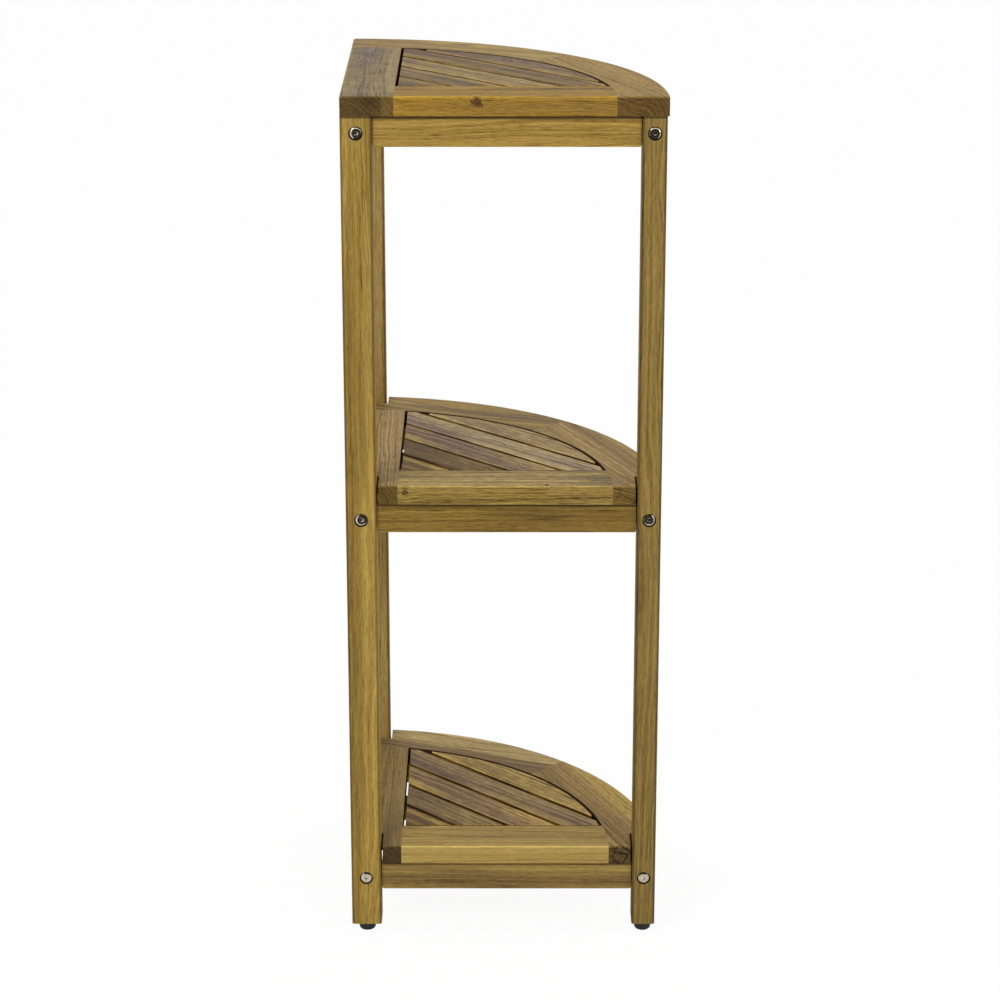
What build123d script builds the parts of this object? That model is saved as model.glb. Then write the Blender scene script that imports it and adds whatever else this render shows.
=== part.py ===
from build123d import *
from math import sqrt
import os

# A corner shelf unit: three quarter-round slatted wooden shelves, bolted to three square posts.
# Lengths are in millimetres. A plan is drawn from the right-angled corner of the shelves, with x along
# the front side and y along the other straight side. Distances along the diagonal are called out.

# Driving dimensions: the whole unit
side = 330.0
lowest_top = 104.0
tier_step = 408.0
board = 20.0
foot_height = 12.0

# Shelf frame: two straight rails and a ring of two curved ones, glued with loose tenons
rail_width = 54.0
ring_width = 52.5
corner_round = 3.0
edge_easing = 1.2
tenon_length = 30.0
tenon_width = 24.0
tenon_thickness = 6.0

# Slats, laid across the diagonal inside the frame, with a slot left all round them
slat_pitch = 40.0
slat_gap = 5.5
first_gap_out = 119.0
least_last_slat = slat_pitch / 2
panel_slot = 3.0
slat_easing = 0.8
tip_cut = 3.0

# Battens under the slats, parallel to the diagonal, lapping under the frame
batten_width = 28.0
batten_thickness = 12.0
batten_spread = 75.0
batten_lap = 30.0

# Posts
post_depth = 32.0
end_post_width = 25.0
end_post_inset = 2.0
post_round = 3.0
notch_clearance = 2.0

# Aprons and leg blocks under each shelf
apron_height = 32.0
apron_setback = 5.0
apron_gap = 1.0
apron_round = 2.0
block_length = 40.0
block_width = 38.0
block_setback = 3.0

# Bolts, which screw into threaded bores behind the posts
bolt_drop = 17.5
bolt_diameter = 6.0
bolt_length = 40.0
bolt_end_room = 1.0
head_diameter = 12.0
head_height = 4.0
head_sink = 0.6
socket_width = 4.0
socket_depth = 2.5
recess_diameter = 14.0
bolt_hole = 6.6

# Screw-in feet, each a domed pad on a threaded stem
pad_diameter = 18.0
pad_flat = 10.5
dome_height = 4.0
stem_diameter = 6.0
stem_length = 29.0
stem_seat = 9.0
stem_end_room = 3.0
thread_fit = 0.05

# Sizes that follow from those above
shelf_tops = {
    "top": lowest_top + 2 * tier_step,
    "middle": lowest_top + tier_step,
    "bottom": lowest_top,
}
height = shelf_tops["top"]
ring_inner = side - ring_width
panel_start = rail_width + panel_slot
panel_radius = ring_inner - panel_slot
slat_count = 2 + int((panel_radius - first_gap_out - least_last_slat) / slat_pitch)
post_length = height - board - foot_height
end_post_start = side - end_post_inset - end_post_width
end_post_centre = end_post_start + end_post_width / 2
corner_post_centre = post_depth / 2
notch_depth = post_depth + notch_clearance
notch_start = end_post_start - notch_clearance
bolt_heights = [top - board - bolt_drop for top in shelf_tops.values()]
bolt_bite = head_sink + head_height + bolt_length - post_depth + bolt_end_room

corner = Plane(origin=(-side / 2, -side / 2, 0))
diagonal_mirror = Plane(origin=corner.origin, z_dir=(1, -1, 0))
from_corner = (Align.MIN, Align.MIN)
hanging = (Align.CENTER, Align.CENTER, Align.MAX)

os.makedirs("parts", exist_ok=True)


def save(piece, name):
    """Label a finished piece and write it under its own name."""
    piece.part.label = name
    export_step(piece.part, f"parts/{name}.step")


def save_mirrored(piece, name):
    """Write the same piece mirrored across the shelf's diagonal."""
    with BuildPart() as twin:
        mirror(piece.part, about=diagonal_mirror)
    save(twin, name)


def in_plan(x, y, z=0.0, turn=0.0):
    """A place given from the corner, turned about the vertical by some degrees."""
    return Location(corner.from_local_coords(Vector(x, y, z)), (0, 0, turn))


def on_diagonal(out, across=0.0):
    """Plan coordinates of a point so far out along the diagonal and so far across it."""
    return (out + across) / sqrt(2), (out - across) / sqrt(2)


def front_face(x, y, z):
    """A plane at a place given from the corner, looking out of the unit's front."""
    return Plane(origin=corner.from_local_coords(Vector(x, y, z)), x_dir=(1, 0, 0), z_dir=(0, -1, 0))


with BuildPart() as bolt:
    Cylinder(head_diameter / 2, head_height, align=hanging)
    with Locations((0, 0, -head_height)):
        Cylinder(bolt_diameter / 2, bolt_length, align=hanging)
    with BuildSketch():
        RegularPolygon(socket_width / 2, 6, major_radius=False)
    extrude(amount=-socket_depth, mode=Mode.SUBTRACT)


def bolt_seats(x):
    """One plane on the front face for each shelf's bolt, at the given place along the front."""
    return [front_face(x, 0, z) for z in bolt_heights]


def tenon_seats(top):
    """The middles of a frame's four glued joints: rail to rail, rails to ring, and ring to ring."""
    mid = top - board / 2
    rail_to_ring = sqrt(ring_inner**2 - (rail_width / 2) ** 2)
    ring_joint = on_diagonal(side - ring_width / 2)
    return [
        in_plan(rail_width, rail_width / 2, mid),
        in_plan(rail_to_ring, rail_width / 2, mid),
        in_plan(rail_width / 2, rail_to_ring, mid, 90),
        in_plan(*ring_joint, mid, 135),
    ]


def post(x, width):
    """A post from its foot to the top shelf's underside, bored for three bolts and its foot."""
    centre = x + width / 2
    foot = corner.from_local_coords(Vector(centre, post_depth / 2, foot_height))
    with BuildPart() as leg:
        with BuildSketch(corner.offset(foot_height)):
            with Locations((x, 0)):
                Rectangle(width, post_depth, align=from_corner)
        extrude(amount=post_length)
        fillet(leg.edges().filter_by(Axis.Z), post_round)
        with Locations(*bolt_seats(centre)):
            CounterBoreHole(bolt_hole / 2, recess_diameter / 2, head_sink + head_height)
        with Locations(Plane(origin=foot, z_dir=(0, 0, -1))):
            Hole(stem_diameter / 2 + thread_fit, depth=stem_length - stem_seat + stem_end_room)
    return leg


def post_bolts(x):
    """The three bolts of a post, their heads just under its front face."""
    with BuildPart() as bolts:
        with Locations(*[seat.offset(-head_sink) for seat in bolt_seats(x)]):
            add(bolt.part)
    return bolts


def shelf_blank(top, notched):
    """A shelf's whole quarter-round board, eased round its top, before it is cut into rails."""
    with BuildPart() as blank:
        with BuildSketch(corner.offset(top - board)):
            Circle(side)
            Rectangle(side, side, align=from_corner, mode=Mode.INTERSECT)
        extrude(amount=board)
        fillet(blank.edges().filter_by(Axis.Z), corner_round)
        chamfer(blank.faces().sort_by(Axis.Z)[-1].edges(), edge_easing)
        if notched:
            with BuildSketch(corner.offset(top - board)):
                Rectangle(notch_depth, notch_depth, align=from_corner)
                with Locations((notch_start, 0)):
                    Rectangle(side, notch_depth, align=from_corner)
                with Locations((0, notch_start)):
                    Rectangle(notch_depth, side, align=from_corner)
            extrude(amount=board, mode=Mode.SUBTRACT)
    return blank.part


def cut_mortises(top):
    """Cut the frame's tenons from the rail that is being built."""
    with Locations(*tenon_seats(top)):
        Box(tenon_length, tenon_width, tenon_thickness, mode=Mode.SUBTRACT)


def side_rail(top, blank):
    """Runs from the front face to the ring, and its back end is coped to the ring's inner edge."""
    with BuildPart() as rail:
        add(blank)
        with BuildSketch(corner.offset(top - board)):
            Circle(ring_inner)
            Rectangle(rail_width, side, align=from_corner, mode=Mode.INTERSECT)
        extrude(amount=board, mode=Mode.INTERSECT)
        cut_mortises(top)
    return rail


def front_rail(top, blank):
    """Butts on the side rail, and its right end is coped to the ring's inner edge."""
    with BuildPart() as rail:
        add(blank)
        with BuildSketch(corner.offset(top - board)):
            Circle(ring_inner)
            with Locations((rail_width, 0)):
                Rectangle(side, rail_width, align=from_corner, mode=Mode.INTERSECT)
        extrude(amount=board, mode=Mode.INTERSECT)
        cut_mortises(top)
    return rail


def arc_rail(top, blank):
    """The half of the ring that starts at the front, cut radially where the two halves are glued."""
    with BuildPart() as rail:
        add(blank)
        with BuildSketch(corner.offset(top - board)):
            with BuildLine():
                Polyline((0, 0), (2 * side, 0), (2 * side, 2 * side), close=True)
            make_face()
            Circle(ring_inner, mode=Mode.SUBTRACT)
        extrude(amount=board, mode=Mode.INTERSECT)
        cut_mortises(top)
    return rail


def slat(top, number):
    """A slat across the diagonal: the first is a corner triangle, the last has a curved edge."""
    gap_before = first_gap_out + (number - 2) * slat_pitch
    near = 0 if number == 1 else gap_before + slat_gap / 2
    far = gap_before + slat_pitch - slat_gap / 2
    length = 2 * side
    if number == slat_count:
        far = side
        length = 2 * (sqrt(panel_radius**2 - near**2) - tip_cut)
    with BuildPart() as strip:
        with BuildSketch(corner.offset(top - board)):
            Circle(panel_radius)
            with Locations((panel_start, panel_start)):
                Rectangle(side, side, align=from_corner, mode=Mode.INTERSECT)
            with Locations(Location((*on_diagonal((near + far) / 2), 0), (0, 0, 45))):
                Rectangle(far - near, length, mode=Mode.INTERSECT)
        extrude(amount=board)
        chamfer(strip.faces().sort_by(Axis.Z)[-1].edges(), slat_easing)
    return strip


def batten(top, across):
    """Carries the slats from below and laps under the frame at both ends."""
    with BuildPart() as strip:
        with BuildSketch(corner.offset(top - board - batten_thickness)):
            with Locations(Location((*on_diagonal(side / 2, across), 0), (0, 0, 45))):
                Rectangle(2 * side, batten_width)
            Circle(ring_inner + batten_lap, mode=Mode.INTERSECT)
            with Locations((notch_depth, notch_depth)):
                Rectangle(side, side, align=from_corner, mode=Mode.INTERSECT)
        extrude(amount=batten_thickness)
    return strip


def front_apron(top):
    """Stiffens the front rail from below, its ends just free of the posts and eased at the foot."""
    with BuildPart() as apron:
        with BuildSketch(corner.offset(top - board)):
            with Locations((post_depth + apron_gap, apron_setback)):
                Rectangle(end_post_start - post_depth - 2 * apron_gap, board, align=from_corner)
        extrude(amount=-apron_height)
        fillet(apron.edges().filter_by(Axis.Y).group_by(Axis.Z)[0], apron_round)
    return apron


def side_apron(top):
    """Stiffens the side rail, and its front end butts on the corner post, whose bolt it takes."""
    with BuildPart() as apron:
        with BuildSketch(corner.offset(top - board)):
            with Locations((apron_setback, post_depth)):
                Rectangle(board, end_post_start - post_depth - apron_gap, align=from_corner)
        extrude(amount=-apron_height)
        fillet(apron.edges().filter_by(Axis.X).group_by(Axis.Z)[0].sort_by(Axis.Y)[-1], apron_round)
        with Locations(front_face(corner_post_centre, post_depth, top - board - bolt_drop)):
            Hole(bolt_diameter / 2, depth=bolt_bite)
    return apron


def leg_block(top):
    """Glued under the ring behind the right post, to take the post's bolt."""
    with BuildPart() as block:
        with BuildSketch(corner.offset(top - board)):
            Circle(side - block_setback)
            with Locations((side - block_width, post_depth)):
                Rectangle(block_width, block_length, align=from_corner, mode=Mode.INTERSECT)
        extrude(amount=-apron_height)
        with Locations(front_face(end_post_centre, post_depth, top - board - bolt_drop)):
            Hole(bolt_diameter / 2, depth=bolt_bite)
    return block


# Posts: the back one is the right one mirrored across the diagonal

post_corner = post(0, post_depth)
post_right = post(end_post_start, end_post_width)
save(post_corner, "post_corner")
save(post_right, "post_right")
save_mirrored(post_right, "post_back")

# Bolts: the corner and right posts are bolted from the front, the back post from the side

right_bolts = post_bolts(end_post_centre)
save(post_bolts(corner_post_centre), "corner_post_bolts")
save(right_bolts, "right_post_bolts")
save_mirrored(right_bolts, "back_post_bolts")

# Shelves: the top one covers the posts, and the two below it are notched round them

for tier, top in shelf_tops.items():
    blank = shelf_blank(top, notched=tier != "top")
    right_arc = arc_rail(top, blank)
    right_block = leg_block(top)
    save(side_rail(top, blank), f"{tier}_side_rail")
    save(front_rail(top, blank), f"{tier}_front_rail")
    save(right_arc, f"{tier}_arc_rail_right")
    save_mirrored(right_arc, f"{tier}_arc_rail_back")
    for number in range(1, slat_count + 1):
        save(slat(top, number), f"{tier}_slat_{number}")
    save(front_apron(top), f"{tier}_front_apron")
    save(side_apron(top), f"{tier}_side_apron")
    save(right_block, f"{tier}_leg_block_right")
    save_mirrored(right_block, f"{tier}_leg_block_back")
    with BuildPart() as battens:
        for across in (-batten_spread, 0, batten_spread):
            add(batten(top, across).part)
    save(battens, f"{tier}_slat_battens")

with BuildPart() as tenons:
    for top in shelf_tops.values():
        with Locations(*tenon_seats(top)):
            Box(tenon_length, tenon_width, tenon_thickness)
save(tenons, "frame_tenons")

# Feet: the pad stands on the floor, and its stem screws up into the end of the post

foot_places = {
    "corner": (corner_post_centre, post_depth / 2),
    "right": (end_post_centre, post_depth / 2),
    "back": (post_depth / 2, end_post_centre),
}

with BuildPart() as pad:
    with BuildSketch(Plane.XZ):
        with BuildLine():
            Polyline(
                (0, 0),
                (pad_flat / 2, 0),
                (pad_diameter / 2, dome_height),
                (pad_diameter / 2, foot_height),
                (0, foot_height),
                close=True,
            )
        make_face()
    revolve(axis=Axis.Z)
    with Locations((0, 0, foot_height)):
        Hole(stem_diameter / 2 + thread_fit, depth=stem_seat)

with BuildPart() as stem:
    with Locations((0, 0, foot_height - stem_seat + stem_length)):
        Cylinder(stem_diameter / 2, stem_length, align=hanging)

for place, (x, y) in foot_places.items():
    for piece, kind in ((pad, "pad"), (stem, "stem")):
        with BuildPart() as foot:
            with Locations(in_plan(x, y)):
                add(piece.part)
        save(foot, f"foot_{kind}_{place}")
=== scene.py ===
import math

import bpy
import numpy as np
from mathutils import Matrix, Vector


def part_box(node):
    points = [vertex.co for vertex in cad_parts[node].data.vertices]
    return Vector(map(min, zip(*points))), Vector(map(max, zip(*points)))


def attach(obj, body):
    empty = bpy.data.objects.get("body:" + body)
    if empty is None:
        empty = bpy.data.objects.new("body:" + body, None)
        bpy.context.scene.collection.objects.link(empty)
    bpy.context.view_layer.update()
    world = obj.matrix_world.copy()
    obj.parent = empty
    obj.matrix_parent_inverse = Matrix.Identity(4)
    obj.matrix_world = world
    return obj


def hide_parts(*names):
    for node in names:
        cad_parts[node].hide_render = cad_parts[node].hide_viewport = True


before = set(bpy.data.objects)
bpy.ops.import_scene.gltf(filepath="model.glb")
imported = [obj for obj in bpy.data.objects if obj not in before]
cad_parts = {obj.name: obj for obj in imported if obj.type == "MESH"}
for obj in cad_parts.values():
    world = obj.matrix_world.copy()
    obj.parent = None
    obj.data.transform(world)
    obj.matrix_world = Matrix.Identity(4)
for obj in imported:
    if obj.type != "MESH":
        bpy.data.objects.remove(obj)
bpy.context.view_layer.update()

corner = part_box("post_corner")[0]

# Posts: three square lengths of oiled acacia, sawn along the grain and rounded on their long edges.
# Their fronts are counterbored for the bolts, and a foot screws into each lower end.


class Port:
    """A socket of a material's nodes. Arithmetic on ports adds the Math nodes that work it out."""

    def __init__(self, tree, socket=None):
        self.tree, self.socket = tree, socket

    def node(self, kind, settings={}, inputs={}, out=0):
        """Any other node: its settings are made first, then its sockets get values or links."""
        made = self.tree.nodes.new(kind)
        for name, value in settings.items():
            setattr(made, name, value)
        for name, value in inputs.items():
            if isinstance(value, Port):
                self.tree.links.new(value.socket, made.inputs[name])
            else:
                made.inputs[name].default_value = value
        return Port(self.tree, made.outputs[out] if made.outputs else None)

    def math(self, operation, *terms):
        """One Math node on the given terms, which are ports or numbers."""
        return self.node("ShaderNodeMath", {"operation": operation}, dict(enumerate(terms)))

    def __add__(self, other):
        return self.math("ADD", self, other)

    def __sub__(self, other):
        return self.math("SUBTRACT", self, other)

    def __rsub__(self, other):
        return self.math("SUBTRACT", other, self)

    def __mul__(self, other):
        return self.math("MULTIPLY", self, other)

    def __pow__(self, other):
        return self.math("POWER", self, other)

    __radd__, __rmul__ = __add__, __mul__

    def ramp(self, low, high):
        """0 up to low, 1 from high on, and a smooth rise between them. High may be the smaller."""
        return self.node(
            "ShaderNodeMapRange",
            {"interpolation_type": "SMOOTHSTEP"},
            {"Value": self, "From Min": low, "From Max": high},
        )

    def blend(self, under, over, share, kind="MIX"):
        """One colour with another laid over it by a share from 0 to 1. Either may be a port."""
        settings = {"data_type": "RGBA", "blend_type": kind, "clamp_factor": True}
        return self.node("ShaderNodeMix", settings, {0: share, 6: under, 7: over}, out=2)

    def mix(self, over, share, kind="MIX"):
        """This colour with another laid over it by a share from 0 to 1."""
        return self.blend(self, over, share, kind)

    def vector(self, operation, *terms, out=0):
        """One Vector Math node on the given terms, which are ports or triples."""
        return self.node("ShaderNodeVectorMath", {"operation": operation}, dict(enumerate(terms)), out)

    def noise(self, place, scale, detail=2.0, rough=0.5, kind="3D"):
        """Fractal noise round 0.5, read at a place, or along a line where the kind is 1D."""
        read = "W" if kind == "1D" else "Vector"
        inputs = {read: place, "Scale": scale, "Detail": detail, "Roughness": rough}
        return self.node("ShaderNodeTexNoise", {"noise_dimensions": kind}, inputs)


def colour(red, green, blue):
    """A colour as seen on a screen, in 0 to 255, turned into the linear one that a shader takes."""
    seen = np.array((red, green, blue)) / 255
    return (*np.where(seen > 0.04045, ((seen + 0.055) / 1.055) ** 2.4, seen / 12.92), 1.0)


upright = (0.0, -math.pi / 2, 0.0)


def acacia(
    node, turn, tone, other, end, seed, share=0.35, band=None, figure=1.0, blotch=0.0,
    knots=(), checks=0.0, flank_and_shade=None, dark=None, painted_edge_shade=0.0,
):
    """Oiled acacia for one piece, worked out through its whole thickness, grain along local x.

    A growth ring's number is the distance from the pith line, bent by slow noise and drawn aside
    by each knot, and one-dimensional noise of that number gives the figure. Streaks of the other
    tone take up about the given share of the piece. A band is a plane in local metres, given as
    direction, offset, softness and the tone of the wood beyond it. A shade of 1 leaves the tone
    as it is, and a darker shade takes most from blue and least from red, as wet streaks in the
    wood do. Upper faces show their figure more strongly. Chamfered edges above are paler, a
    painted highlight, and rounded upright edges are darker by the share in the last argument, a
    painted shade. Faces that cross the grain take the end tone, and drying checks follow the edges
    of a cell pattern there. The colour given for sawn sides is a deeper gold that is partly painted
    shade of the gaps between slats, and patches of painted shade darken it further. Dark is a mask
    for painted shade in a slot, close under another board or in a counterbore.
    """
    material = bpy.data.materials.new(node + "_wood")
    material.use_nodes = True
    material.node_tree.nodes.clear()
    start = Port(material.node_tree)
    low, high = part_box(node)
    angle = 0.0 if turn == upright else math.radians(turn)
    grain = (0.0, 0.0, 1.0) if turn == upright else (math.cos(angle), math.sin(angle), 0.0)
    place = start.node("ShaderNodeTexCoord", out=3)
    local = start.node(
        "ShaderNodeMapping", {"vector_type": "TEXTURE"},
        {
            "Vector": place, "Location": tuple((low + high) / 2),
            "Rotation": upright if turn == upright else (0.0, 0.0, angle),
        },
    )
    shifted = local.vector("ADD", local, (seed * 1.7, seed * 0.61, seed * 0.37))

    def stretched(x, across, detail=2.0, rough=0.5):
        """Noise with so many cycles per metre along the grain, and so many across it."""
        return start.noise(shifted.vector("MULTIPLY", shifted, (x, across, across)), 1.0, detail, rough)

    slow, waver = stretched(1.6, 15.0), stretched(9.0, 70.0)
    axis = local.vector("MULTIPLY", local, (0.0, 1.0, 1.0))
    ring = axis.vector("DISTANCE", axis, (0.0, 0.05, -0.06), out=1) + slow * 0.034 + waver * 0.005
    heart = None
    for x, y, z, radius in knots:
        away = place.vector("DISTANCE", place, (x, y, z), out=1)
        pull = away * (-0.45 / radius)
        ring = ring + pull.math("EXPONENT", pull) * (radius * 2.2)
        edge = away + (start.noise(place, 420.0) - 0.5) * (radius * 2.0)
        inside = edge.ramp(radius * 1.1, radius * 0.6)
        heart = inside if heart is None else heart.math("MAXIMUM", heart, inside)
        knot_rings = start.noise(away, 1100.0, 2.0, kind="1D")
    lines = start.noise(ring, 480.0, 5.0, 0.78, kind="1D")
    dashes = stretched(17.0, 620.0, 3.0, 0.65)
    dark_dashes = dashes.ramp(0.53, 0.72)
    fine = stretched(90.0, 1300.0, 2.0, 0.7)
    pores = stretched(110.0, 2600.0, 1.0).ramp(0.58, 0.70)

    limit = 0.5 + 0.28 * (0.5 - share)
    taken = (stretched(2.4, 34.0, 3.0) * 0.8 + lines * 0.2).ramp(limit - 0.07, limit + 0.07)
    wood = start.blend(colour(*tone), colour(*other), taken)
    end_wood = colour(*end)
    if band:
        direction, offset, softness, beyond = band
        way = local.vector("DOT_PRODUCT", local, direction, out=1)
        way = way + (slow - 0.5) * 0.006 + (waver - 0.5) * 0.004
        in_band = way.ramp(offset - softness, offset + softness)
        wood = wood.mix(colour(*beyond), in_band)
        brighter = tuple(min(1.5 * part, 1.0) for part in end_wood[:3]) + (1.0,)
        end_wood = start.blend(end_wood, brighter, in_band)
    normal = start.node("ShaderNodeNewGeometry", out=3)
    upward = normal.vector("DOT_PRODUCT", normal, (0.0, 0.0, 1.0), out=1)
    facing = normal.vector("DOT_PRODUCT", normal, grain, out=1)
    cross = facing.math("ABSOLUTE", facing).ramp(0.4, 0.75)
    # Sawn sides: a deeper gold, partly painted shade of the gaps, with patches of painted shade.
    if flank_and_shade:
        shaded_flank = start.blend(colour(*flank_and_shade), colour(74, 54, 20), stretched(14.0, 90.0).ramp(0.42, 0.6))
        wood = wood.mix(shaded_flank, upward.math("ABSOLUTE", upward).ramp(0.6, 0.2))
    wood = wood.mix(end_wood, cross)
    # Chamfered edges above are lightened: a painted highlight.
    painted_edge_highlight = upward.ramp(0.4, 0.6) - upward.ramp(0.8, 0.95)
    shade = (lines - 0.5) * 1.7 - dark_dashes * 0.42 + 0.06 + (fine - 0.5) * 1.1
    strength = figure * (1 + upward.ramp(0.6, 0.9) * 0.9 + cross)
    shade = 1 + shade * strength + (slow - 0.5) * 0.9 + painted_edge_highlight * 0.6
    # Rounded upright edges are darkened: painted shade.
    if painted_edge_shade:
        twist = normal.vector("MULTIPLY", normal, (1.0, 1.0, 0.0))
        corner_turn = twist.vector("DOT_PRODUCT", twist, (0.7071, 0.7071, 0.0), out=1)
        other_turn = twist.vector("DOT_PRODUCT", twist, (0.7071, -0.7071, 0.0), out=1)
        both = corner_turn * corner_turn - other_turn * other_turn
        shade = shade * (1 - both.math("ABSOLUTE", both).ramp(0.15, 0.7) * painted_edge_shade)
    if blotch:
        shade = shade + (stretched(45.0, 60.0, 3.0, 0.6) - 0.5) * blotch
    shade = shade * (1 - pores * 0.25)
    shade = shade.math("MAXIMUM", shade, 0.25)
    if checks:
        cells = start.node(
            "ShaderNodeTexVoronoi", {"feature": "DISTANCE_TO_EDGE"},
            {"Vector": shifted.vector("MULTIPLY", shifted, (8.0, 70.0, 70.0)), "Scale": 1.0},
        )
        shade = shade * (1 - cells.ramp(0.05, 0.0) * cross * checks)
    parts = {"Red": shade, "Green": shade ** 1.12, "Blue": shade ** 1.45}
    wood = wood.mix(start.node("ShaderNodeCombineColor", {}, parts), 1.0, "MULTIPLY")
    if knots:
        knot = start.blend(colour(54, 36, 14), colour(110, 76, 32), knot_rings.ramp(0.35, 0.65))
        wood = wood.mix(knot, heart)
    # The dark mask lays painted shade over the wood.
    if dark:
        wood = wood.mix(colour(62, 44, 20), dark(start, place, normal))
    height = dashes * 0.5 + fine * 0.5 + lines * 0.3 - pores
    bump = height.node("ShaderNodeBump", {}, {"Strength": 0.35, "Distance": 0.00025, "Height": height})
    surface = start.node(
        "ShaderNodeBsdfPrincipled", {},
        {
            "Base Color": wood,
            "Roughness": 0.50 + dashes * 0.16 + cross * 0.1,
            "Specular IOR Level": 0.2,
            "Normal": bump,
        },
    )
    start.node("ShaderNodeOutputMaterial", {}, {"Surface": surface})
    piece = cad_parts[node]
    piece.data.materials.clear()
    piece.data.materials.append(material)


def post_painted_shade(name, axis):
    """A mask of painted shade in a post's counterbores, and along the line where its top meets the top
    shelf.

    The counterbores lie round the bolts' own axes, which run along x or along y.
    """
    low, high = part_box(f"{name}_post_bolts")
    middle, half, top = (low + high) / 2, 0.006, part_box(f"post_{name}")[1][2]

    def mask(start, place, normal):
        across = (1.0, 1.0, 1.0) - np.abs(axis)
        up = place.vector("DOT_PRODUCT", place, (0.0, 0.0, 1.0), out=1)
        shaded = up.ramp(top - 0.0032, top - 0.0014) * 0.8
        for height in (low[2] + half, middle[2], high[2] - half):
            centre = np.array((middle[0], middle[1], height)) * across
            away = place.vector("MULTIPLY", place, tuple(across))
            away = away.vector("DISTANCE", away, tuple(centre), out=1)
            shaded = shaded.math("MAXIMUM", shaded, away.ramp(0.0076, 0.0069))
        return shaded
    return mask


paler_above = ((1.0, 0.0, 0.0), -0.04, 0.12, (138, 113, 55))
for name, axis, tone, other, end, seed, band in (
    ("corner", (0, -1, 0), (157, 128, 57), (138, 110, 47), (96, 74, 36), 1, None),
    ("right", (0, -1, 0), (132, 108, 53), (114, 90, 42), (92, 72, 36), 2, paler_above),
    ("back", (-1, 0, 0), (168, 140, 76), (142, 114, 56), (96, 74, 36), 3, None),
):
    # Their counterbores, and the line under the top shelf, take painted shade.
    acacia(
        f"post_{name}", upright, tone, other, end, seed, share=0.4, figure=1.1, painted_edge_shade=0.45, band=band,
        dark=post_painted_shade(name, axis),
    )

# Side rails: each runs from the front face, where its end grain shows, to the curved ring.
# They are plain boards, with a slot left between them and the slats, whose faces in the slot take painted
# shade.


def toward(*direction):
    """A mask of painted shade for the faces that look one way: 1 where a face's normal is close to that
    direction.
    """
    def mask(start, place, normal):
        return normal.vector("DOT_PRODUCT", normal, direction, out=1).ramp(0.85, 0.95)
    return mask


pale_strip = ((0.0, -1.0, 0.0), 0.014, 0.002, (146, 124, 78))
for tier, tone, other, end, seed, share, figure, blotch, band in (
    ("top", (134, 113, 72), (118, 102, 84), (84, 64, 26), 11, 0.4, 0.8, 1.3, pale_strip),
    ("middle", (170, 142, 90), (148, 120, 70), (98, 76, 28), 12, 0.3, 0.9, 0.5, None),
    ("bottom", (134, 108, 58), (104, 84, 48), (66, 51, 24), 13, 0.35, 1.0, 0.5, None),
):
    # Their faces in the slot take painted shade.
    acacia(
        f"{tier}_side_rail", 90.0, tone, other, end, seed, share=share, figure=figure, blotch=blotch,
        band=band, dark=toward(1, 0, 0),
    )

# Front rails: butted on the side rails and coped to the ring, with their long grain in front.
# The bottom one changes from brown heartwood at the back to golden sapwood along the front.

brown_front = ((0.0, -1.0, 0.0), 0.0262, 0.0006, (140, 114, 52))
golden_front = ((0.0, -1.0, 0.0), 0.004, 0.003, (174, 146, 78))
top_knots = ((-0.0285, -0.165, 0.9146, 0.0056), (-0.0235, -0.165, 0.9112, 0.0028))
middle_knots = ((0.044, -0.161, 0.512, 0.003), (-0.103, -0.165, 0.505, 0.0034))
for tier, tone, other, band, seed, share, figure, knots in (
    ("top", (151, 115, 32), (128, 97, 38), None, 21, 0.4, 1.6, top_knots),
    ("middle", (162, 136, 76), (108, 88, 60), brown_front, 22, 0.5, 2.0, middle_knots),
    ("bottom", (172, 143, 76), (150, 122, 66), golden_front, 23, 0.35, 0.7, ()),
):
    # Their back faces, in the slot before the slats, take painted shade.
    acacia(
        f"{tier}_front_rail", 0.0, tone, other, (84, 64, 26), seed, share=share, figure=figure, band=band,
        knots=knots, dark=toward(0, 1, 0),
    )

# Arc rails: two sawn quarters of the curved front, glued where they meet on the diagonal.
# Each is cut from a straight board, so its grain keeps to the chord and shows as end grain in front.


def ring_slot_shade(start, place, normal):
    """A mask of painted shade for the ring's inner edge, in the slot: 1 where a face looks back at the
    shelf's corner.
    """
    spoke = place.vector("SUBTRACT", tuple(corner), place)
    spoke = spoke.vector("MULTIPLY", spoke, (1.0, 1.0, 0.0))
    spoke = spoke.vector("NORMALIZE", spoke)
    return normal.vector("DOT_PRODUCT", normal, spoke, out=1).ramp(0.85, 0.95)


golden_rim = ((0.0, -1.0, 0.0), 0.02, 0.003, (172, 142, 70))
pale_rim = ((0.0, 1.0, 0.0), 0.004, 0.002, (172, 146, 92))
for tier, side, turn, tone, other, end, seed, band, checks in (
    ("top", "right", 112.5, (164, 133, 67), (150, 120, 60), (100, 74, 30), 31, None, 0.3),
    ("top", "back", -22.5, (168, 140, 76), (140, 110, 56), (100, 74, 30), 36, None, 0.0),
    ("middle", "right", 112.5, (166, 137, 80), (136, 108, 64), (108, 85, 34), 32, None, 0.7),
    ("middle", "back", -22.5, (154, 125, 66), (116, 95, 62), (100, 74, 30), 37, None, 0.0),
    ("bottom", "right", 112.5, (158, 128, 70), (140, 112, 62), (88, 69, 32), 33, golden_rim, 1.0),
    ("bottom", "back", -22.5, (132, 106, 64), (118, 94, 58), (90, 70, 30), 38, pale_rim, 0.0),
):
    # The ring's inner edge, in the slot, takes painted shade.
    acacia(f"{tier}_arc_rail_{side}", turn, tone, other, end, seed, band=band, checks=checks, dark=ring_slot_shade)

# Tenons: loose hardwood tongues, glued into mortises inside the frame's joints.
# They are sealed in and never seen.

acacia("frame_tenons", 45.0, (168, 138, 84), (150, 122, 70), (110, 84, 44), 41)

# Slats: five strips across the diagonal of each shelf, each from another board.
# Their sawn sides are a deeper gold than their tops, partly as painted shade of the gaps, with
# patches of painted shade along them, and their mitred ends are dark, as end grain and as
# painted shade of the slot.

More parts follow.
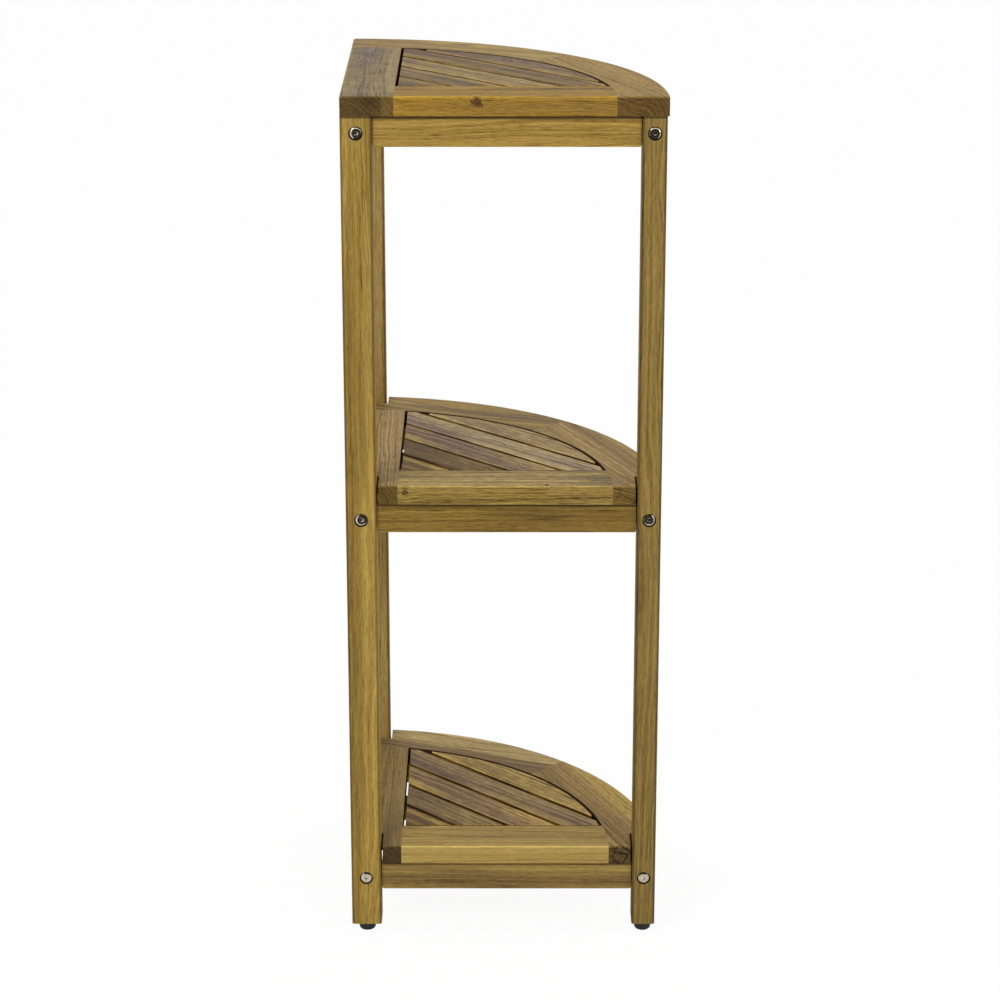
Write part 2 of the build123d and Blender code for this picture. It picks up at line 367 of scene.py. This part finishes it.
slat_tones = {
    "top": ((128, 103, 48), (128, 104, 59), (144, 119, 67), (121, 96, 48), (145, 118, 66)),
    "middle": ((141, 113, 53), (112, 88, 40), (170, 142, 84), (167, 144, 99), (164, 138, 89)),
    "bottom": ((134, 107, 49), (135, 111, 61), (178, 147, 76), (140, 115, 69), (163, 135, 71)),
}
for tier, tones in slat_tones.items():
    for number, tone in enumerate(tones, 1):
        other = tuple(np.array(tone) * (0.74, 0.71, 0.88))
        seed = 50 + 7 * number + len(tier)
        # The end tone and the colour for the sides are partly painted shade of the slot and the gaps.
        acacia(
            f"{tier}_slat_{number}", -45.0, np.array(tone) * 1.06, other, (64, 46, 22), seed, share=0.45,
            blotch=0.9, figure=1.5, flank_and_shade=(122, 91, 31),
        )

# Battens: three thin strips of the same wood under each shelf, parallel to the diagonal.
# They are screwed up into the slats and the frame, and show only from below.

for tier, seed in (("top", 81), ("middle", 82), ("bottom", 83)):
    acacia(f"{tier}_slat_battens", 45.0, (156, 126, 66), (138, 110, 54), (96, 74, 36), seed)

# Aprons: boards on edge below the straight rails, bolted through the posts. The front ones stop
# just short of the posts, and a dark line of painted shadow lies along their tops.


def shadow_under_rail(height):
    """A mask for a line of painted shadow on an apron, just below a shelf at this height."""
    def mask(start, place, normal):
        up = place.vector("DOT_PRODUCT", place, (0.0, 0.0, 1.0), out=1)
        return up.ramp(height - 0.0052, height - 0.0022) * 0.9
    return mask


for tier, tone, other, seed, figure in (
    ("top", (161, 129, 57), (136, 107, 47), 91, 1.4),
    ("middle", (133, 105, 42), (103, 80, 34), 92, 1.6),
    ("bottom", (152, 126, 65), (118, 94, 50), 93, 1.4),
):
    # Each apron gets a painted shadow along its top.
    line = shadow_under_rail(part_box(f"{tier}_front_apron")[1][2])
    acacia(f"{tier}_front_apron", 0.0, tone, other, (70, 52, 26), seed, figure=figure, dark=line)
    acacia(f"{tier}_side_apron", 90.0, tone, other, (70, 52, 26), seed + 5, figure=figure, dark=line)

# Leg blocks: short blocks of the same wood behind the end posts, glued under the ring.
# The end posts' bolts screw into them.

for tier, seed in (("top", 101), ("middle", 102), ("bottom", 103)):
    acacia(f"{tier}_leg_block_right", 90.0, (146, 118, 58), (126, 100, 48), (92, 70, 34), seed)
    acacia(f"{tier}_leg_block_back", 0.0, (146, 118, 58), (126, 100, 48), (92, 70, 34), seed + 5)

# Bolts: turned steel, plated with polished nickel, with a flat bevelled head and a hex socket.
# Each sits in its counterbore and screws into what stands behind the post.


def turned(name, radius, height, seats):
    """A piece made of rings round an axis, with one copy for each seat.

    A seat is a place and the way the top faces.

    Point (i, j) is radius[i, j] from the axis, at j equal parts of a turn, and height[i, j] along it.
    The first and the last ring close on a point of the axis at their own height.
    """
    rings, parts = radius.shape
    angle = np.broadcast_to(np.arange(parts) * 2 * math.pi / parts, radius.shape)
    rise = np.broadcast_to(height, radius.shape)
    points = np.stack([radius * np.cos(angle), radius * np.sin(angle), rise], -1).reshape(-1, 3)
    points = np.vstack([points, (0, 0, rise[0].mean()), (0, 0, rise[-1].mean())])
    row, column = np.meshgrid(np.arange(rings - 1), np.arange(parts), indexing="ij")
    near, beside = row * parts + column, row * parts + (column + 1) % parts
    quads = np.stack([near, near + parts, beside + parts, beside], -1).reshape(-1, 4)
    step = np.arange(parts)
    after, last = (step + 1) % parts, (rings - 1) * parts
    top = np.stack([np.full(parts, rings * parts), step, after], -1)
    bottom = np.stack([np.full(parts, rings * parts + 1), last + after, last + step], -1)
    places, faces = [], []
    for number, (seat, outward) in enumerate(seats):
        up = np.array(outward, float)
        side = np.cross(up, (0, 0, 1)) if abs(up[2]) < 0.9 else np.array((1.0, 0.0, 0.0))
        basis = np.array([side, np.cross(up, side), up])
        places.append(points @ basis + np.array(seat))
        faces += [(part + number * len(points)).tolist() for part in (quads, top, bottom)]
    mesh = bpy.data.meshes.new(name)
    mesh.from_pydata(np.vstack(places).tolist(), [], sum(faces, []))
    mesh.polygons.foreach_set("use_smooth", np.ones(len(mesh.polygons), bool))
    mesh.set_sharp_from_angle(angle=math.radians(32))
    piece = bpy.data.objects.new(name, mesh)
    bpy.context.scene.collection.objects.link(piece)
    return piece


def metal(name, tint, rough, smudge):
    """Plated steel: one tint, with a slow unevenness in its polish and very fine turning marks."""
    material = bpy.data.materials.new(name)
    material.use_nodes = True
    material.node_tree.nodes.clear()
    start = Port(material.node_tree)
    place = start.node("ShaderNodeTexCoord", out=3)
    cloud = start.noise(place, 420.0, 3.0)
    marks = start.noise(place, 5200.0, 2.0)
    bump = marks.node("ShaderNodeBump", {}, {"Strength": 0.12, "Distance": 0.00003, "Height": marks})
    worn = start.blend(colour(*tint), colour(*(0.82 * np.array(tint))), cloud.ramp(0.35, 0.7))
    surface = start.node(
        "ShaderNodeBsdfPrincipled", {},
        {"Base Color": worn, "Metallic": 1.0, "Roughness": rough + (cloud - 0.5) * smudge, "Normal": bump},
    )
    start.node("ShaderNodeOutputMaterial", {}, {"Surface": surface})
    return material


nickel = metal("nickel_plate", (226, 217, 197), 0.12, 0.06)
mm = 0.001
bolt_parts = 72
around = np.arange(bolt_parts) * 2 * math.pi / bolt_parts
flats = 1.7 * mm / np.cos((around + math.pi / 6) % (math.pi / 3) - math.pi / 6)
ring = np.ones(bolt_parts)
bolt_rings = (
    (flats * 0.5, -2.65), (flats, -2.5), (flats, -0.35), (flats + 0.12 * mm, -0.22),
    (ring * 2.75 * mm, -0.03), (ring * 3.0 * mm, 0.0), (ring * 3.9 * mm, 0.0), (ring * 4.1 * mm, -0.04),
    (ring * 5.4 * mm, -0.2), (ring * 5.8 * mm, -0.42), (ring * 6.0 * mm, -0.85), (ring * 6.0 * mm, -3.8),
    (ring * 5.8 * mm, -4.0), (ring * 3.2 * mm, -4.0), (ring * 3.0 * mm, -4.2), (ring * 3.0 * mm, -43.3),
    (ring * 2.4 * mm, -44.0),
)
bolt_radius = np.array([radius for radius, _ in bolt_rings])
bolt_height = np.array([[height * mm] for _, height in bolt_rings])
for place, outward in (("corner", (0, -1, 0)), ("right", (0, -1, 0)), ("back", (-1, 0, 0))):
    low, high = (np.array(side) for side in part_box(f"{place}_post_bolts"))
    half = 6.0 * mm
    middle = (low + high) / 2
    seats = []
    for height in (low[2] + half, middle[2], high[2] - half):
        seat = np.array((middle[0], middle[1], height))
        seat[0 if outward[0] else 1] = low[0 if outward[0] else 1]
        seats.append((seat, outward))
    bolts = turned(f"{place}_post_bolts_turned", bolt_radius, bolt_height, seats)
    bolts.data.materials.append(nickel)
    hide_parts(f"{place}_post_bolts")
    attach(bolts, "shelf_unit")

# Batten screws: small countersunk steel screws, seven to a shelf, driven up through the battens
# into the frame and the slats. Only their heads show, from below.

zinc = metal("zinc_plate", (188, 188, 182), 0.34, 0.2)
screw_parts = 48
around = np.arange(screw_parts) * 2 * math.pi / screw_parts
reaches = np.array((0.35, 0.8, 1.3, 1.9, 2.2, 2.5, 3.0, 3.8, 4.0, 3.2)) * mm
screw_radius = np.repeat(reaches[:, None], screw_parts, 1)
across_x, across_y = np.abs(screw_radius * np.cos(around)), np.abs(screw_radius * np.sin(around))
in_cross = (np.minimum(across_x, across_y) < 0.42 * mm) & (screw_radius < 2.3 * mm)
screw_height = np.where(in_cross, -1.3 * mm * (1 - screw_radius / (3.2 * mm)), 0.0)
screw_height[-2:] = np.array(((-0.15,), (-1.6,))) * mm
for tier in ("top", "middle", "bottom"):
    low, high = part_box(f"{tier}_slat_battens")
    seats = []
    spots = ((62.2, 0), (287.5, 8), (287.5, -8), (137.2, 75), (137.2, -75), (277.6, 75), (277.6, -75))
    for out, span in spots:
        x, y = (out + span) / math.sqrt(2) * mm, (out - span) / math.sqrt(2) * mm
        seats.append(((corner[0] + x, corner[1] + y, low[2] - 0.05 * mm), (0, 0, -1)))
    screws = turned(f"{tier}_batten_screws", screw_radius, screw_height, seats)
    screws.data.materials.append(zinc)
    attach(screws, "shelf_unit")

# Foot stems: zinc-plated steel studs with a coarse rolled thread.
# They are moulded into the pads and screw up into the ends of the posts.

stem_turns, stem_parts, stem_steps = 29, 32, 8
around = np.arange(stem_parts) / stem_parts
for place in ("corner", "right", "back"):
    low, high = (np.array(side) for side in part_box(f"foot_stem_{place}"))
    along = np.linspace(0, high[2] - low[2], stem_turns * stem_steps + 1)[:, None]
    phase = (along / mm - around + 100) % 1
    crest = np.clip(1.35 - np.abs(phase - 0.5) * 4, 0, 1)
    ends = np.clip(np.minimum(along, along[-1] - along) / mm, 0, 1)
    radius = (2.45 + 0.53 * crest * ends) * mm
    middle = (low + high) / 2
    seat = (middle[0], middle[1], high[2])
    stem = turned(f"foot_stem_{place}_threaded", radius, -along, [(seat, (0, 0, 1))])
    stem.data.materials.append(zinc)
    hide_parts(f"foot_stem_{place}")
    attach(stem, f"{place}_foot_stem")

# Foot pads: black moulded plastic, turned by hand to level the unit.
# They are domed below, so that a tilted foot still finds the floor.

plastic = bpy.data.materials.new("black_plastic")
plastic.use_nodes = True
plastic.node_tree.nodes.clear()
start = Port(plastic.node_tree)
place = start.node("ShaderNodeTexCoord", out=3)
skin = start.noise(place, 2400.0, 3.0)
scuffs = start.noise(place, 340.0, 3.0).ramp(0.55, 0.8)
bump = skin.node("ShaderNodeBump", {}, {"Strength": 0.15, "Distance": 0.0001, "Height": skin})
surface = start.node(
    "ShaderNodeBsdfPrincipled", {},
    {
        "Base Color": start.blend(colour(22, 22, 23), colour(44, 43, 42), scuffs),
        "Roughness": 0.24 + scuffs * 0.2,
        "Normal": bump,
    },
)
start.node("ShaderNodeOutputMaterial", {}, {"Surface": surface})

pad_parts = 64
lean = np.linspace(0, math.pi / 2, 12)
dome_radius = 5.0 + 4.0 * np.sin(lean) ** 0.9
dome_height = 4.0 * (1 - np.cos(lean))
pad_radius = np.concatenate([[3.05, 3.05, 3.5, 8.4, 8.85, 9.0], dome_radius[::-1], [2.5]])
pad_height = np.concatenate([[3.0, 11.8, 12.0, 12.0, 11.85, 11.5], dome_height[::-1], [0.0]])
for place in ("corner", "right", "back"):
    low, high = (np.array(side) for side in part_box(f"foot_pad_{place}"))
    middle = (low + high) / 2
    rings = np.repeat(pad_radius[:, None], pad_parts, 1) * mm
    seat = (middle[0], middle[1], low[2])
    pad = turned(f"foot_pad_{place}_moulded", rings, pad_height[:, None] * mm, [(seat, (0, 0, 1))])
    pad.data.materials.append(plastic)
    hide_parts(f"foot_pad_{place}")
    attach(pad, f"{place}_foot_pad")

# Floor: a plain white sweep, white to the camera but for the object's soft shadow.
# It is clear from below, so that the underside can be looked at.

floor_mesh = bpy.data.meshes.new("floor")
reach = 9.0
floor_corners = [(-reach, -reach, 0), (reach, -reach, 0), (reach, reach, 0), (-reach, reach, 0)]
floor_mesh.from_pydata(floor_corners, [], [(0, 1, 2, 3)])
floor = bpy.data.objects.new("floor", floor_mesh)
bpy.context.scene.collection.objects.link(floor)
paint = bpy.data.materials.new("floor_paint")
paint.use_nodes = True
paint.node_tree.nodes.clear()
start = Port(paint.node_tree)
seen = start.node("ShaderNodeLightPath", out=0)
matt = start.node("ShaderNodeBsdfDiffuse", {}, {"Color": (0.95, 0.95, 0.95, 1)})
glow = start.node("ShaderNodeEmission", {}, {"Color": (1, 1, 1, 1), "Strength": 1.02})
mixed = start.node("ShaderNodeMixShader", {}, {0: seen * 0.92, 1: matt, 2: glow})
below = start.node("ShaderNodeNewGeometry", out=6)
clear = start.node("ShaderNodeBsdfTransparent")
mixed = start.node("ShaderNodeMixShader", {}, {0: below, 1: mixed, 2: clear})
start.node("ShaderNodeOutputMaterial", {}, {"Surface": mixed})
floor_mesh.materials.append(paint)

# Light: a pale room, with one large soft lamp high on the left and a weaker one on the right.

world = bpy.data.worlds.new("room")
bpy.context.scene.world = world
world.use_nodes = True
world.node_tree.nodes.clear()
start = Port(world.node_tree)
direct = start.node("ShaderNodeLightPath", out=0)
gloss = start.node("ShaderNodeLightPath", out=3)
through = start.node("ShaderNodeLightPath", out=6)
white = direct.math("MAXIMUM", direct, gloss)
white = white.math("MAXIMUM", white, through)
sky = start.node("ShaderNodeBackground", {}, {"Color": (1, 1, 1, 1), "Strength": 0.6 + white * 0.4})
start.node("ShaderNodeOutputWorld", {}, {"Surface": sky})

for name, place, power in (("key", (-1.8, -2.4, 2.6), 37.0), ("fill", (2.2, -2.2, 1.5), 17.5)):
    lamp = bpy.data.lights.new(name, "AREA")
    lamp.energy, lamp.size = power, 1.4
    holder = bpy.data.objects.new(name, lamp)
    holder.location = place
    aim = np.array((0.0, 0.0, 0.45)) - np.array(place)
    holder.rotation_euler = (math.acos(-aim[2] / np.linalg.norm(aim)), 0.0, math.atan2(-aim[0], aim[1]))
    bpy.context.scene.collection.objects.link(holder)

# Card: a dark sheet, standing low in front of the unit and seen by polished metal alone.
# It gives the upper bolt heads their dark faces, a painted dark reflection.

shade_mesh = bpy.data.meshes.new("dark_side")
shade_corners = [(-0.34, -0.7, 0.015), (0.45, -0.7, 0.015), (0.45, -0.7, 1.05), (-0.34, -0.7, 1.05)]
shade_mesh.from_pydata(shade_corners, [], [(0, 1, 2, 3)])
shade = bpy.data.objects.new("dark_side", shade_mesh)
bpy.context.scene.collection.objects.link(shade)
shade.visible_camera = shade.visible_diffuse = shade.visible_shadow = False
shade.visible_transmission = shade.visible_volume_scatter = False
card_paint = bpy.data.materials.new("dark_reflection_card")
card_paint.use_nodes = True
card_paint.node_tree.nodes.clear()
start = Port(card_paint.node_tree)
dim = start.node("ShaderNodeEmission", {}, {"Color": (0.05, 0.045, 0.04, 1), "Strength": 1.0})
start.node("ShaderNodeOutputMaterial", {}, {"Surface": dim})
shade_mesh.materials.append(card_paint)

# Camera: in front and above, a little left of the middle, as in the photograph.

camera = bpy.data.cameras.new("camera")
camera.sensor_width = 36.0
camera.lens = 3135.5 * 36.0 / 1000
eye = bpy.data.objects.new("camera", camera)
eye.location = (-0.0019, -3.252, 1.5216)
eye.rotation_euler = (math.radians(90 - 18.36), 0.0, math.radians(0.05))
bpy.context.scene.collection.objects.link(eye)
bpy.context.scene.camera = eye
bpy.context.scene.view_settings.view_transform = "Standard"
